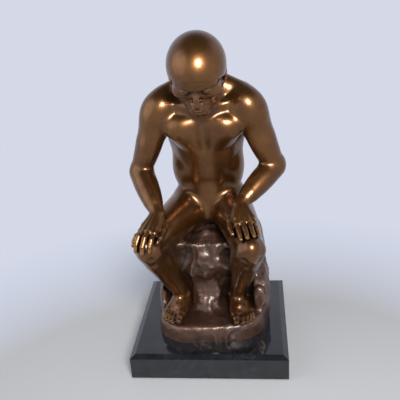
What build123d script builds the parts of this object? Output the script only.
"""Seated contemplative figure in cast bronze, on a rock, bolted to a marble plinth.

Millimetres, +Z up. The origin is under the middle of the plinth, the figure faces -Y, and its
left side is at +X. The figure is a set of hollow castings that meet face to face at flat seams.
Sleeves line up the wide seams, and pins line up the narrow ones.
"""
import os
from math import acos, copysign, cos, pi, radians, sin, sqrt

from build123d import *

# Plinth, with its felt
felt_thickness = 2
felt_margin = 4
plinth_width = 184
plinth_depth = 174
plinth_height = 30
bevel_run = 6.2
bevel_drop = 3.6
arris_radius = 0.8

# Mounting bolts
bolt_diameter = 6
bolt_length = 30
bolt_head_flats = 10
bolt_head_height = 4
washer_diameter = 12
washer_thickness = 1.6
bolt_hole_clearance = 0.3
thread_clearance = 0.05
counterbore_diameter = 18
counterbore_depth = 10
boss_diameter = 14

# Rock
ledge_height = 20
rock_half_width = 67
rock_taper = 5
rock_toe_margin = 5
rock_heel_clearance = 7
rock_back_margin = 5
rock_wall = 5
rock_corners = 18
vent_diameter = 16

# Castings and their joints
casting_wall = 4.5
floor_thickness = 9
sleeve_wall = 2
sleeve_clearance = 0.1
socket_depth = 7
pin_diameter = 5
pin_length = 14
pin_clearance = 0.05
cut_overrun = 1

# Bones of the figure
thigh_length = 107
shank_length = 108
ankle_height = 17
foot_length = 66
lower_back_length = 48
upper_back_length = 87
neck_length = 30
upper_arm_length = 82
forearm_length = 65
palm_length = 25
finger_length = 25
hip_half_span = 23
shoulder_half_span = 48
head_height = 77

# Girths, as half widths and half depths at the fullest place
hip_half_width = 43
hip_half_depth = 31
chest_half_width = 45
chest_half_depth = 28
girdle_half_depth = 20
girdle_half_height = 15
neck_half_width = 18
neck_half_depth = 17
head_half_width = 29
head_half_depth = 35
thigh_half_width = 25
thigh_half_depth = 27
calf_half_width = 15.5
calf_half_depth = 17.5
foot_half_width = 13
toe_radius = 3.8
upper_arm_half_width = 14.5
upper_arm_half_depth = 16.5
forearm_half_width = 13.5
forearm_half_depth = 11.5
palm_half_width = 11
palm_half_thickness = 5.2
finger_radius = 3.4

# Pose: angles in degrees, then where the figure sits and where its wrists lie behind the knees
pelvis_lean = 4
chest_lean = 18
neck_lean = 34
head_bow = 36
thigh_drop = 6
shank_lean = 33
toe_out = 12
sides = {
    "right": {"sign": -1, "thigh_out": 22, "shank_in": 25},
    "left": {"sign": 1, "thigh_out": 14, "shank_in": 18},
}
pelvis_x = 2
pelvis_y = 40
wrist_setback = {"right": 27, "left": 44}
elbow_out = {"right": 37, "left": 49}
hand_clearance = 0.6
seat_clearance = 0.6

# Places along each bone, with the width and depth there as shares of the fullest
trunk_shares = ((-0.85, 0.86, 0.86), (-0.25, 1, 1), (0.35, 0.96, 0.92), (1, 0.88, 0.84))
chest_shares = ((0.45, 0.94, 1), (0.8, 0.97, 0.96), (1.1, 0.58, 0.7))
# Muscles of each side: place outward, up and forward, half width, height and depth, and turn in degrees
chest_muscle_shares = (
    ((0.13, 0.07, -0.39), (0.49, 0.23, 0.5), 0),
    ((0.52, 0.18, -0.27), (0.67, 0.144, 0.45), -26),
    ((0.74, -0.57, -0.23), (0.23, 0.44, 0.38), -9),
    ((0.47, -0.28, -0.68), (0.36, 0.24, 0.29), -12),
    ((0.42, -0.26, 0.7), (0.46, 0.18, 0.3), 10),
    ((0.77, -0.155, 0.45), (0.38, 0.115, 0.36), 20),
    ((0.69, -0.99, 0.07), (0.24, 0.25, 0.57), 0),
    ((0.18, -0.78, -0.7), (0.16, 0.44, 0.26), 0),
)
hip_muscle_shares = (
    ((0.46, -0.125, -0.36), (0.53, 0.52, 0.65), 0),
    ((0.3, 0.5, 0.42), (0.4, 0.375, 0.355), 0),
)
# The shoulder girdle, across the top of the chest
girdle_shares = ((-0.95, 0.72, 0.76), (-0.5, 0.95, 0.95), (0, 1, 1), (0.5, 0.95, 0.95), (0.95, 0.72, 0.76))
thigh_shares = ((0, 1.02, 1.02), (0.3, 1, 1), (0.65, 0.88, 0.86), (1, 0.7, 0.66))
calf_shares = ((0, 1.1, 1), (0.3, 1, 1), (0.65, 0.76, 0.76), (0.92, 0.6, 0.62))
upper_arm_shares = ((0, 1.12, 1.12), (0.34, 1, 1), (0.65, 0.93, 0.95), (1, 0.82, 0.75))
forearm_shares = ((0, 0.9, 1.02), (0.3, 1, 1), (0.65, 0.84, 0.8), (0.9, 0.68, 0.56))
hip_seam_share = thigh_shares[1][0]
ankle_seam_share = calf_shares[-1][0]
shoulder_seam_share = upper_arm_shares[1][0]
wrist_seam_share = forearm_shares[-1][0]
neck_seam_share = 0.45
neck_root_share = chest_shares[-1][0]
knee_ball_share = 1.06
elbow_ball_share = 1.1
shoulder_ball_share = 1.2

# The foot: place along it, half width, half height and height of the middle
foot_shares = (
    (-0.25, 0.42, 0.38, 0.42),
    (-0.14, 0.72, 0.6, 0.5),
    (0.08, 0.78, 0.62, 0.52),
    (0.3, 0.88, 0.52, 0.42),
    (0.5, 1, 0.4, 0.3),
    (0.58, 0.97, 0.34, 0.26),
)
# Each toe from the big one out: sideways place, reach of its tip and girth
toe_shares = (
    (-0.62, 0.75, 1),
    (-0.15, 0.76, 0.72),
    (0.21, 0.73, 0.68),
    (0.53, 0.69, 0.64),
    (0.8, 0.64, 0.6),
)
toe_root_share = 0.5
# Each finger from the index out: sideways place on the palm, and length
finger_shares = ((-0.72, 0.92), (-0.24, 1), (0.24, 0.94), (0.7, 0.76))
finger_joint_shares = ((-0.25, 1), (0, 1), (0.45, 1), (0.75, 0.92), (1, 0.66))
# The thumb's joints: place along the palm, sideways place and girth
thumb_shares = ((0.25, -0.6, 1.1), (0.6, -1.25, 1.15), (0.95, -1.5, 1.05), (1.25, -1.55, 0.7))
# The face, from brow to chin: height, half width, half depth and place forward
face_shares = (
    (0.15, 0.86, 0.62, 0.3),
    (-0.12, 0.86, 0.64, 0.36),
    (-0.32, 0.74, 0.58, 0.42),
    (-0.46, 0.5, 0.42, 0.52),
    (-0.5, 0.34, 0.28, 0.54),
)
head_lift_share = 0.27
head_forward_share = 0.34
cranium_lift_share = 0.08
palm_place_shares = (0.5, 1)
nose_place_shares = (0.9, -0.08)
nose_size_shares = (0.055, 0.09, 0.13)
ear_place_share = 0.98
ear_size_shares = (0.045, 0.1, 0.14)
tip_share = 0.66
# The rock above the ledge: height, width, and how far its front has come forward
boulder_shares = ((0, 0.97, 0), (0.35, 0.97, 0.3), (0.7, 0.93, 0.72), (1, 0.86, 1))
# Crags on the rock: place sideways, back and up, then half width, half depth and half height
crag_shares = (
    ((0, 0.5, 0.52), (0.94, 0.51, 0.6)),
    ((-0.03, 0, 0.76), (0.72, 0.39, 0.31)),
    ((0.72, 0.41, 0.78), (0.24, 0.48, 0.43)),
    ((-0.73, 0.48, 0.65), (0.22, 0.46, 0.43)),
    ((0, 0.86, 0.74), (0.7, 0.2, 0.42)),
    ((0.9, -0.07, 0.26), (0.19, 0.39, 0.33)),
    ((0.88, 0.39, 0.26), (0.19, 0.52, 0.39)),
    ((-0.93, 0.14, 0.22), (0.14, 0.36, 0.28)),
    ((-0.1, -0.07, 0.3), (0.28, 0.32, 0.33)),
)
crag_chips = 20
crag_reach_share = 0.9
crag_ripple_share = 0.1
rock_ripple_share = 0.045
rock_squareness_share = 0.72
rock_brow_share = 0.42
bolt_spread_share = 0.68

across = Vector(1, 0, 0)
up = Vector(0, 0, 1)
cavity_inset = casting_wall + sleeve_wall
ankle_half_sizes = (calf_half_width * calf_shares[-1][1], calf_half_depth * calf_shares[-1][2])


def heading(sign, outward):
    """A level direction, turned from the front towards one side."""
    return Vector(sign * sin(radians(outward)), -cos(radians(outward)), 0)


def lean(angle):
    """The way up along a part that leans forward."""
    return Vector(0, -sin(radians(angle)), cos(radians(angle)))


def square_to(direction, along):
    """The share of a direction that is square to another, as a unit vector."""
    return (direction - along * direction.dot(along)).normalized()


def oval(origin, along, width_way, half_width, half_depth):
    """An oval section, square to the way along."""
    with BuildSketch(Plane(origin, x_dir=width_way, z_dir=along)) as section:
        Ellipse(half_width, half_depth)
    return section.sketch


def ovals(start, end, width_way, half_width, half_depth, shares, inset=0):
    """The sections of a limb from start to end, each drawn in by the inset."""
    along = end - start
    return [
        oval(start + along * place, along, width_way, half_width * wide - inset, half_depth * deep - inset)
        for place, wide, deep in shares
    ]


def egg(plane, half_sizes):
    """A ball stretched along the three ways of a plane."""
    with BuildPart(mode=Mode.PRIVATE) as shape:
        Sphere(1)
        scale(by=half_sizes)
    return shape.part.moved(plane.location)


def crag(centre, half_sizes, phase):
    """A boulder: a block with flat chips struck off all round."""
    with BuildPart(mode=Mode.PRIVATE) as shape:
        with Locations(centre):
            Box(*(2 * size for size in half_sizes))
        for number in range(crag_chips):
            tilt = acos(1 - (2 * number + 1) / crag_chips)
            turn = pi * (1 + sqrt(5)) * number + phase
            way = (cos(turn) * sin(tilt), sin(turn) * sin(tilt), cos(tilt))
            slope = Vector(*(part / size for part, size in zip(way, half_sizes)))
            reach = (crag_reach_share + crag_ripple_share * sin(number**2 + phase)) / slope.length
            chip = Plane(centre + slope.normalized() * reach, z_dir=slope)
            split(bisect_by=chip, keep=Keep.BOTTOM)
    return shape.part


def muscles(origin, angle, sizes, shares, grown=0):
    """Eggs on both sides of a part of the back that leans by an angle, as shares of its sizes."""
    rise = lean(angle)
    forward = rise.cross(across)
    eggs = []
    for sign in (-1, 1):
        for place, girth, turn in shares:
            outward, high, ahead = (size * share for size, share in zip(sizes, place))
            wide, tall, deep = (size * share + grown for size, share in zip(sizes, girth))
            middle = origin + across * sign * outward + rise * high - forward * ahead
            eggs.append(egg(Plane(middle, across, rise).rotated((0, -sign * turn, 0)), (wide, deep, tall)))
    return eggs


def digit(points, radii, width_way):
    """The round sections of a finger or toe along its joints."""
    ends = [points[0], *points, points[-1]]
    turns = [after - before for before, after in zip(ends, ends[2:])]
    joints = zip(points, turns, radii)
    return [oval(point, turn, width_way, radius, radius) for point, turn, radius in joints]


def cylinder_at(plane, diameter, start, end, mode=Mode.ADD):
    """A round bar or bore on a plane, from one height over it to another."""
    with BuildSketch(plane.offset(start)) as disc:
        Circle(diameter / 2)
    extrude(disc.sketch, amount=end - start, dir=plane.z_dir, mode=mode)


def socket(plane, half_width, half_depth):
    """Cuts the seat of a sleeve on both sides of a seam."""
    with BuildSketch(plane.offset(-socket_depth)) as seat:
        Ellipse(half_width - casting_wall, half_depth - casting_wall)
    extrude(seat.sketch, amount=2 * socket_depth, dir=plane.z_dir, mode=Mode.SUBTRACT)


def pin_hole(plane):
    """Cuts the hole of a register pin on both sides of a seam."""
    reach = pin_length / 2 + pin_clearance
    cylinder_at(plane, pin_diameter + 2 * pin_clearance, -reach, reach, Mode.SUBTRACT)


# Levels, from the felt up
plinth_top = felt_thickness + plinth_height
ledge_top = plinth_top + ledge_height
ankle_level = ledge_top + ankle_height
knee_level = ankle_level + shank_length * cos(radians(shank_lean))
hip_level = knee_level + thigh_length * sin(radians(thigh_drop))
thigh_under = max(
    thigh_half_depth * deep / cos(radians(thigh_drop)) + thigh_length * place * sin(radians(thigh_drop))
    for place, _, deep in thigh_shares
)
seat_level = hip_level - thigh_under - seat_clearance

# The back, neck and head
pelvis = Vector(pelvis_x, pelvis_y, hip_level)
waist = pelvis + lean(pelvis_lean) * lower_back_length
shoulder_middle = waist + lean(chest_lean) * upper_back_length
neck_root = waist + lean(chest_lean) * upper_back_length * neck_root_share
neck_seam = Plane(neck_root + lean(neck_lean) * neck_length * neck_seam_share, across, lean(neck_lean))
neck_top = neck_root + lean(neck_lean) * neck_length
head_up = lean(head_bow)
head_front = Vector(0, -cos(radians(head_bow)), -sin(radians(head_bow)))
head_centre = neck_top + head_up * head_height * head_lift_share
head_centre += head_front * head_half_depth * head_forward_share


class Leg:
    """The joints, directions and seams of one leg."""

    def __init__(self, sign, thigh_out, shank_in):
        self.sign = sign
        self.ahead = heading(sign, thigh_out)
        self.hip = pelvis + across * sign * hip_half_span
        drop, slant = radians(thigh_drop), radians(shank_lean)
        self.thigh_way = self.ahead * cos(drop) - up * sin(drop)
        self.shank_way = heading(sign, shank_in) * -sin(slant) - up * cos(slant)
        self.knee = self.hip + self.thigh_way * thigh_length
        self.ankle = self.knee + self.shank_way * shank_length
        self.sideways = up.cross(self.ahead) * sign
        self.over = square_to(up, self.thigh_way)
        self.knee_radius = thigh_half_width * thigh_shares[-1][1] * knee_ball_share
        hip_point = self.hip + self.thigh_way * thigh_length * hip_seam_share
        self.hip_seam = Plane(hip_point, self.sideways, self.thigh_way)
        ankle_point = self.knee + self.shank_way * shank_length * ankle_seam_share
        self.ankle_seam = Plane(ankle_point, self.sideways, self.shank_way)
        self.toe_way = heading(sign, toe_out)
        self.foot_side = up.cross(self.toe_way) * sign
        self.sole = Plane(self.ankle - up * ankle_height, self.foot_side, up)

    def over_leg(self, distance, sideways, lift):
        """A point over the leg: a distance past the knee's top, a way round it, and lifted off the skin."""
        place, girth = thigh_shares[-2][0], thigh_half_depth * thigh_shares[-2][2]
        behind = max(-distance, 0)
        growth = (girth - self.knee_radius) / (thigh_length * (1 - place))
        radius = self.knee_radius + growth * behind + lift
        bend, swing = max(distance, 0) / radius, sideways / radius
        out = self.over * cos(bend) + self.thigh_way * sin(bend)
        away = out * cos(swing) + self.sideways * sin(swing)
        return self.knee - self.thigh_way * behind + away * radius


class Arm:
    """The joints and seams of one arm, whose hand lies over its leg."""

    def __init__(self, leg, setback, elbow_turn):
        self.leg = leg
        self.setback = setback
        self.shoulder = shoulder_middle + across * leg.sign * shoulder_half_span
        self.wrist_half_depth = forearm_half_depth * forearm_shares[-1][2]
        self.wrist = leg.over_leg(-setback, 0, self.wrist_half_depth + hand_clearance)
        reach = self.wrist - self.shoulder
        way = reach.normalized()
        opposite = upper_arm_length**2 + reach.length**2 - forearm_length**2
        turn = acos(opposite / (2 * upper_arm_length * reach.length))
        out = square_to(heading(leg.sign, 180 - elbow_turn), way)
        self.elbow = self.shoulder + (way * cos(turn) + out * sin(turn)) * upper_arm_length
        self.upper_way = (self.elbow - self.shoulder).normalized()
        self.fore_way = (self.wrist - self.elbow).normalized()
        self.width_way = square_to(across, self.upper_way)
        shoulder_point = self.shoulder + self.upper_way * upper_arm_length * shoulder_seam_share
        self.shoulder_seam = Plane(shoulder_point, self.width_way, self.upper_way)
        wrist_point = self.elbow + self.fore_way * forearm_length * wrist_seam_share
        self.wrist_seam = Plane(wrist_point, leg.sideways, self.fore_way)


legs = {side: Leg(**pose) for side, pose in sides.items()}
arms = {side: Arm(leg, wrist_setback[side], elbow_out[side]) for side, leg in legs.items()}
seat_plane = Plane((pelvis_x, pelvis_y, seat_level))
seat_pin_planes = [seat_plane.shift_origin(seat_plane.origin + across * hip_half_span * s) for s in (-1, 1)]

# Outline of the rock, from the feet and the seat that it carries
toe_front = min(leg.ankle.Y for leg in legs.values()) - foot_length * toe_shares[1][1]
heel_back = max(leg.ankle.Y for leg in legs.values()) - foot_length * foot_shares[0][0]
rock_front = toe_front - rock_toe_margin
rock_back = pelvis_y + hip_half_depth + rock_back_margin
boulder_front = heel_back + rock_heel_clearance
boulder_brow = max(leg.knee.Y for leg in legs.values()) + thigh_length * rock_brow_share


def rock_outline(level, half_width, front, back, phase):
    """A rough outline of the rock at one level: a rounded box whose radius ripples."""
    half_depth = (back - front) / 2
    corners = []
    for number in range(rock_corners):
        turn = 2 * pi * number / rock_corners
        swell = 1 + rock_ripple_share * sin(3 * turn + phase) * cos(2 * turn - phase)
        reach_x = copysign(abs(cos(turn)) ** rock_squareness_share, cos(turn)) * half_width * swell
        reach_y = copysign(abs(sin(turn)) ** rock_squareness_share, sin(turn)) * half_depth * swell
        corners.append((pelvis_x + reach_x, front + half_depth + reach_y))
    with BuildSketch(Plane.XY.offset(level)) as outline:
        with BuildLine():
            Polyline(*corners, close=True)
        make_face()
    return outline.sketch


def ledge_outlines(inset, lowest, highest):
    """The two outlines of the ledge that the feet stand on."""
    return [
        rock_outline(level, rock_half_width - drawn, rock_front + drawn, rock_back - drawn, 0)
        for level, drawn in ((lowest, inset), (highest, inset + rock_taper))
    ]


def boulder_outlines(inset, lowest, highest):
    """The outlines of the boulder that the figure sits on."""
    outlines = []
    for phase, (height, width, forward) in enumerate(boulder_shares):
        level = lowest + (highest - lowest) * height
        half_width = (rock_half_width - rock_taper) * width - inset
        front = boulder_front + (boulder_brow - boulder_front) * forward + inset
        outlines.append(rock_outline(level, half_width, front, rock_back - rock_taper - inset, phase))
    return outlines


bolt_side = rock_half_width * bolt_spread_share
bolt_back = rock_back - rock_taper - rock_wall - boss_diameter / 4
bolt_front = rock_front + rock_taper + rock_wall + boss_diameter / 2
bolt_places = [(pelvis_x + bolt_side * sign, bolt_front) for sign in (-1, 1)]
bolt_places.append((pelvis_x, bolt_back))
bolt_planes = [Plane((x, y, felt_thickness + counterbore_depth)) for x, y in bolt_places]
bolt_reach = bolt_length - washer_thickness

os.makedirs("parts", exist_ok=True)


def save(builder, name):
    """Labels a finished piece and writes its file."""
    builder.part.label = name
    export_step(builder.part, f"parts/{name}.step")


# Felt sheet, glued under the plinth
with BuildPart() as felt_sheet:
    with BuildSketch():
        Rectangle(plinth_width - 2 * felt_margin, plinth_depth - 2 * felt_margin)
    extrude(amount=felt_thickness)
    fillet(felt_sheet.edges().filter_by(Axis.Z), radius=felt_margin)
save(felt_sheet, "felt_sheet")

# Marble plinth, bevelled round its top and counterbored from below for the bolts
with BuildPart() as marble_plinth:
    with BuildSketch(Plane.XY.offset(felt_thickness)):
        Rectangle(plinth_width, plinth_depth)
    extrude(amount=plinth_height)
    top_face = marble_plinth.faces().sort_by(Axis.Z)[-1]
    chamfer(top_face.edges(), length=bevel_run, length2=bevel_drop, reference=top_face)
    fillet(marble_plinth.edges().filter_by(Axis.Z), radius=arris_radius)
    for plane in bolt_planes:
        bore = bolt_diameter + 2 * bolt_hole_clearance
        cylinder_at(plane, bore, -cut_overrun, plinth_height, Mode.SUBTRACT)
        cylinder_at(plane, counterbore_diameter, -counterbore_depth - cut_overrun, 0, Mode.SUBTRACT)
save(marble_plinth, "marble_plinth")

# Washers and hexagon bolts, one of each under every boss
with BuildPart() as mounting_washers:
    for plane in bolt_planes:
        cylinder_at(plane, washer_diameter, -washer_thickness, 0)
        cylinder_at(plane, bolt_diameter + 2 * bolt_hole_clearance, -washer_thickness, 0, Mode.SUBTRACT)
save(mounting_washers, "mounting_washers")

with BuildPart() as mounting_bolts:
    for plane in bolt_planes:
        head_plane = plane.offset(-washer_thickness - bolt_head_height)
        with BuildSketch(head_plane) as hexagon:
            RegularPolygon(bolt_head_flats / 2, 6, major_radius=False)
        extrude(hexagon.sketch, amount=bolt_head_height)
        cylinder_at(plane, bolt_diameter, -washer_thickness, bolt_reach)
save(mounting_bolts, "mounting_bolts")

# The back from the hips to the shoulders, and the print that the figure leaves in the rock
trunk = (pelvis, waist, across, hip_half_width, hip_half_depth, trunk_shares)
chest = (waist, shoulder_middle, across, chest_half_width, chest_half_depth, chest_shares)
chest_sizes = (chest_half_width, upper_back_length, chest_half_depth)
hip_sizes = (hip_half_width, lower_back_length, hip_half_depth)
with BuildPart() as figure_print:
    grown_neck = (neck_half_width + seat_clearance, neck_half_depth + seat_clearance)
    neck = oval(neck_seam.origin, neck_seam.z_dir, across, *grown_neck)
    loft([*ovals(*trunk, -seat_clearance), *ovals(*chest, -seat_clearance), neck])
    add(muscles(pelvis, pelvis_lean, hip_sizes, hip_muscle_shares, seat_clearance))
    for leg in legs.values():
        thigh = (leg.hip, leg.knee, leg.sideways, thigh_half_width, thigh_half_depth)
        for reach in (thigh_shares[:2], thigh_shares[1:]):
            loft(ovals(*thigh, reach, -seat_clearance))
    split(bisect_by=seat_plane, keep=Keep.TOP)
    for leg in legs.values():
        calf = (leg.knee, leg.ankle, leg.sideways, calf_half_width, calf_half_depth)
        loft(ovals(*calf, calf_shares, -seat_clearance))

# Rock: a ledge for the feet and a boulder with crags for the seat, hollow from below, with three bosses
with BuildPart() as rock_seat:
    loft(ledge_outlines(0, plinth_top, ledge_top), ruled=True)
    loft(boulder_outlines(0, plinth_top, seat_level), ruled=True)
    crag_sizes = (rock_half_width, (rock_back - rock_front) / 2, seat_level - plinth_top)
    crag_middle = Vector(pelvis_x, (rock_back + rock_front) / 2, plinth_top)
    for phase, (place, girth) in enumerate(crag_shares):
        offset = Vector(*(size * share for size, share in zip(crag_sizes, place)))
        half_sizes = [size * share for size, share in zip(crag_sizes, girth)]
        add(crag(crag_middle + offset, half_sizes, phase))
    split(bisect_by=Plane.XY.offset(plinth_top), keep=Keep.TOP)
    add(figure_print.part, mode=Mode.SUBTRACT)
    loft(
        ledge_outlines(rock_wall, plinth_top - cut_overrun, ledge_top - floor_thickness),
        ruled=True,
        mode=Mode.SUBTRACT,
    )
    loft(
        boulder_outlines(rock_wall, plinth_top - cut_overrun, seat_level - floor_thickness),
        ruled=True,
        mode=Mode.SUBTRACT,
    )
    for plane in bolt_planes:
        boss_base = plinth_top - plane.origin.Z
        cylinder_at(plane, boss_diameter, boss_base, boss_base + ledge_height - cut_overrun)
        bore = bolt_diameter + 2 * thread_clearance
        cylinder_at(plane, bore, boss_base - cut_overrun, bolt_reach + thread_clearance, Mode.SUBTRACT)
    cylinder_at(seat_plane, vent_diameter, -floor_thickness - cut_overrun, cut_overrun, Mode.SUBTRACT)
    for plane in seat_pin_planes:
        pin_hole(plane)
    for leg in legs.values():
        pin_hole(leg.sole)
save(rock_seat, "rock_seat")

# Torso: hips, waist, chest and neck root, with the stubs of the arms and legs
with BuildPart() as torso:
    neck = oval(neck_seam.origin, neck_seam.z_dir, across, neck_half_width, neck_half_depth)
    girdle_end = shoulder_middle + across * shoulder_half_span
    girdle_half_sizes = (girdle_half_height, girdle_half_depth)
    girdle = (shoulder_middle, girdle_end, lean(chest_lean), *girdle_half_sizes, girdle_shares)
    loft([*ovals(*trunk), *ovals(*chest), neck])
    loft(ovals(*girdle))
    for leg, arm in zip(legs.values(), arms.values()):
        loft(ovals(leg.hip, leg.knee, leg.sideways, thigh_half_width, thigh_half_depth, thigh_shares[:2]))
        stub = (arm.shoulder, arm.elbow, arm.width_way, upper_arm_half_width, upper_arm_half_depth)
        loft(ovals(*stub, upper_arm_shares[:2]))
        with Locations(arm.shoulder):
            Sphere(upper_arm_half_width * shoulder_ball_share)
    add(muscles(shoulder_middle, chest_lean, chest_sizes, chest_muscle_shares))
    add(muscles(pelvis, pelvis_lean, hip_sizes, hip_muscle_shares))
    split(bisect_by=seat_plane, keep=Keep.TOP)
    split(bisect_by=neck_seam, keep=Keep.BOTTOM)
    for arm in arms.values():
        stub = (arm.shoulder, arm.elbow, arm.width_way, upper_arm_half_width, upper_arm_half_depth)
        loft(ovals(*stub, upper_arm_shares[1:], -hand_clearance), mode=Mode.SUBTRACT)
    floor_share = (seat_level + floor_thickness - hip_level) / lower_back_length
    hollow_shares = ((floor_share, *trunk_shares[1][1:]), *trunk_shares[2:])
    hollow_neck = oval(
        neck_seam.origin,
        neck_seam.z_dir,
        across,
        neck_half_width - cavity_inset,
        neck_half_depth - cavity_inset,
    )
    loft(
        [*ovals(*trunk[:-1], hollow_shares, cavity_inset), *ovals(*chest, cavity_inset), hollow_neck],
        mode=Mode.SUBTRACT,
    )
    loft(ovals(*girdle, cavity_inset), mode=Mode.SUBTRACT)
    socket(neck_seam, neck_half_width, neck_half_depth)
    for leg, arm in zip(legs.values(), arms.values()):
        thigh = (leg.hip, leg.knee, leg.sideways, thigh_half_width, thigh_half_depth)
        loft(ovals(*thigh, thigh_shares[:2], cavity_inset), mode=Mode.SUBTRACT)
        stub = (arm.shoulder, arm.elbow, arm.width_way, upper_arm_half_width, upper_arm_half_depth)
        loft(ovals(*stub, upper_arm_shares[:2], cavity_inset), mode=Mode.SUBTRACT)
        socket(leg.hip_seam, thigh_half_width, thigh_half_depth)
        socket(arm.shoulder_seam, upper_arm_half_width, upper_arm_half_depth)
    cylinder_at(seat_plane, vent_diameter, -cut_overrun, floor_thickness + cut_overrun, Mode.SUBTRACT)
    for plane in seat_pin_planes:
        pin_hole(plane)
save(torso, "torso")

# Head: neck, cranium, jaw, nose and ears, hollow up from the neck
with BuildPart() as head:
    cranium_centre = head_centre + head_up * head_height * cranium_lift_share
    cranium = Plane(cranium_centre, across, head_up)
    cranium_half_height = head_height / 2 - head_height * cranium_lift_share
    cranium_half_sizes = (head_half_width, head_half_depth, cranium_half_height)
    add(egg(cranium, cranium_half_sizes))
    face = []
    for height, wide, deep, forward in face_shares:
        middle = head_centre + head_up * head_height * height + head_front * head_half_depth * forward
        face.append(oval(middle, head_up, across, head_half_width * wide, head_half_width * deep))
    loft(face)
    neck_sections = [
        oval(neck_seam.origin, neck_seam.z_dir, across, neck_half_width, neck_half_depth),
        oval(neck_top, head_up, across, neck_half_width, neck_half_depth),
        oval(head_centre, head_up, across, neck_half_width, neck_half_depth),
    ]
    loft(neck_sections)
    nose_centre = head_centre + head_front * head_half_depth * nose_place_shares[0]
    nose_centre += head_up * head_height * nose_place_shares[1]
    add(egg(Plane(nose_centre, across, head_up), tuple(head_height * size for size in nose_size_shares)))
    for sign in (-1, 1):
        ear_centre = head_centre + across * sign * head_half_width * ear_place_share
        add(egg(Plane(ear_centre, across, head_up), tuple(head_height * size for size in ear_size_shares)))
    hollow = tuple(half_size - cavity_inset for half_size in cranium_half_sizes)
    add(egg(cranium, hollow), mode=Mode.SUBTRACT)
    hollow_neck = [
        oval(place, way, across, neck_half_width - cavity_inset, neck_half_depth - cavity_inset)
        for place, way in ((neck_seam.origin, neck_seam.z_dir), (neck_top, head_up), (head_centre, head_up))
    ]
    loft(hollow_neck, mode=Mode.SUBTRACT)
    socket(neck_seam, neck_half_width, neck_half_depth)
save(head, "head")

for side, leg in legs.items():
    thigh = (leg.hip, leg.knee, leg.sideways, thigh_half_width, thigh_half_depth, thigh_shares[1:])
    calf = (leg.knee, leg.ankle, leg.sideways, calf_half_width, calf_half_depth)
    # Leg from the hip seam to the ankle seam, hollow as far as the calf
    with BuildPart() as leg_casting:
        loft(ovals(*thigh))
        loft(ovals(*calf, calf_shares))
        with Locations(leg.knee):
            Sphere(leg.knee_radius)
        loft(ovals(*thigh, cavity_inset), mode=Mode.SUBTRACT)
        loft(ovals(*calf, calf_shares[:-1], cavity_inset), mode=Mode.SUBTRACT)
        with Locations(leg.knee):
            Sphere(leg.knee_radius - cavity_inset, mode=Mode.SUBTRACT)
        socket(leg.hip_seam, thigh_half_width, thigh_half_depth)
        pin_hole(leg.ankle_seam)
    save(leg_casting, f"{side}_leg")

    # Foot with its ankle and five toes, flat on the ledge
    with BuildPart() as foot:
        sole_centre = leg.sole.origin
        ankle_sections = [
            oval(leg.ankle_seam.origin, leg.shank_way, leg.sideways, *ankle_half_sizes),
            oval(leg.ankle, leg.shank_way - up, leg.foot_side, *ankle_half_sizes),
            oval(leg.ankle - up * ankle_height / 2, -up, leg.foot_side, *ankle_half_sizes),
        ]
        loft(ankle_sections)
        instep = []
        for place, wide, tall, middle in foot_shares:
            centre = sole_centre + leg.toe_way * foot_length * place + up * ankle_height * middle
            half_sizes = (foot_half_width * wide, ankle_height * tall)
            instep.append(oval(centre, leg.toe_way, leg.foot_side, *half_sizes))
        loft(instep)
        for sideways, reach, girth in toe_shares:
            radius = toe_radius * girth
            row = sole_centre + leg.foot_side * foot_half_width * sideways + up * radius
            root = row + leg.toe_way * foot_length * toe_root_share
            tip = row + leg.toe_way * foot_length * reach
            loft(digit([root, (root + tip) / 2, tip], [radius, radius, radius * tip_share], leg.foot_side))
        split(bisect_by=leg.sole, keep=Keep.TOP)
        pin_hole(leg.ankle_seam)
        pin_hole(leg.sole)
    save(foot, f"{side}_foot")

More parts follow.
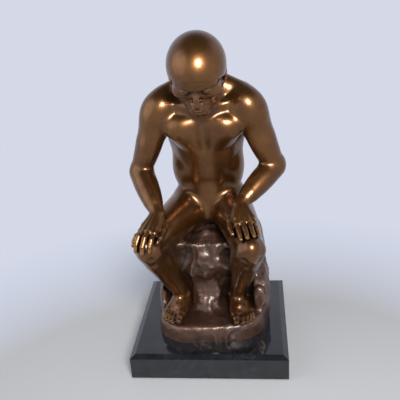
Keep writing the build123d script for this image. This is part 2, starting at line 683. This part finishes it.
for side, arm in arms.items():
    leg = arm.leg
    upper_arm = (arm.shoulder, arm.elbow, arm.width_way, upper_arm_half_width, upper_arm_half_depth)
    forearm = (arm.elbow, arm.wrist, leg.sideways, forearm_half_width, forearm_half_depth)
    # Arm from the shoulder seam to the wrist seam, hollow as far as the forearm
    with BuildPart() as arm_casting:
        elbow_radius = forearm_half_depth * forearm_shares[0][2] * elbow_ball_share
        loft(ovals(*upper_arm, upper_arm_shares[1:]))
        loft(ovals(*forearm, forearm_shares))
        with Locations(arm.elbow):
            Sphere(elbow_radius)
        loft(ovals(*upper_arm, upper_arm_shares[1:], cavity_inset), mode=Mode.SUBTRACT)
        with Locations(arm.elbow):
            Sphere(elbow_radius - cavity_inset, mode=Mode.SUBTRACT)
        socket(arm.shoulder_seam, upper_arm_half_width, upper_arm_half_depth)
        pin_hole(arm.wrist_seam)
    save(arm_casting, f"{side}_arm")

    # Hand: a palm over the leg, four fingers that follow the knee and a thumb on the inner side
    with BuildPart() as hand:
        wrist_half_sizes = (forearm_half_width * forearm_shares[-1][1], arm.wrist_half_depth)
        knuckle = palm_length - arm.setback
        palm_lift = palm_half_thickness + hand_clearance
        palm_places = [palm_length * share - arm.setback for share in palm_place_shares]
        palm_points = [leg.over_leg(place, 0, palm_lift) for place in palm_places]
        palm_way = palm_points[1] - palm_points[0]
        palm_half_sizes = (palm_half_width, palm_half_thickness)
        palm = [
            oval(arm.wrist_seam.origin, arm.fore_way, leg.sideways, *wrist_half_sizes),
            oval(arm.wrist, arm.fore_way + palm_way.normalized(), leg.sideways, *wrist_half_sizes),
            *(oval(point, palm_way, leg.sideways, *palm_half_sizes) for point in palm_points),
        ]
        loft(palm)
        for sideways, length in finger_shares:
            lift = finger_radius + hand_clearance
            joints = [
                leg.over_leg(knuckle + finger_length * length * place, palm_half_width * sideways, lift)
                for place, _ in finger_joint_shares
            ]
            loft(digit(joints, [finger_radius * girth for _, girth in finger_joint_shares], leg.sideways))
        thumb_joints = []
        for place, sideways, girth in thumb_shares:
            lift = finger_radius * girth + hand_clearance
            distance = palm_length * place - arm.setback
            thumb_joints.append(leg.over_leg(distance, palm_half_width * sideways, lift))
        loft(digit(thumb_joints, [finger_radius * girth for *_, girth in thumb_shares], leg.over))
        pin_hole(arm.wrist_seam)
    save(hand, f"{side}_hand")

# Sleeves in the wide seams
seams = {"neck_sleeve": (neck_seam, neck_half_width, neck_half_depth)}
for side in sides:
    arm, leg = arms[side], legs[side]
    seams[f"{side}_shoulder_sleeve"] = (arm.shoulder_seam, upper_arm_half_width, upper_arm_half_depth)
    seams[f"{side}_hip_sleeve"] = (leg.hip_seam, thigh_half_width, thigh_half_depth)
for name, (plane, half_width, half_depth) in seams.items():
    outer = casting_wall + sleeve_clearance
    with BuildPart() as sleeve:
        with BuildSketch(plane.offset(sleeve_clearance - socket_depth)) as ring:
            Ellipse(half_width - outer, half_depth - outer)
            Ellipse(half_width - outer - sleeve_wall, half_depth - outer - sleeve_wall, mode=Mode.SUBTRACT)
        extrude(ring.sketch, amount=2 * (socket_depth - sleeve_clearance))
    save(sleeve, name)

# Register pins in the narrow seams, under the soles and under the seat
pins = {"seat_pins": seat_pin_planes}
for side in sides:
    pins[f"{side}_wrist_pin"] = [arms[side].wrist_seam]
    pins[f"{side}_ankle_pin"] = [legs[side].ankle_seam]
    pins[f"{side}_sole_pin"] = [legs[side].sole]
for name, planes in pins.items():
    with BuildPart() as pin:
        for plane in planes:
            cylinder_at(plane, pin_diameter, -pin_length / 2, pin_length / 2)
    save(pin, name)
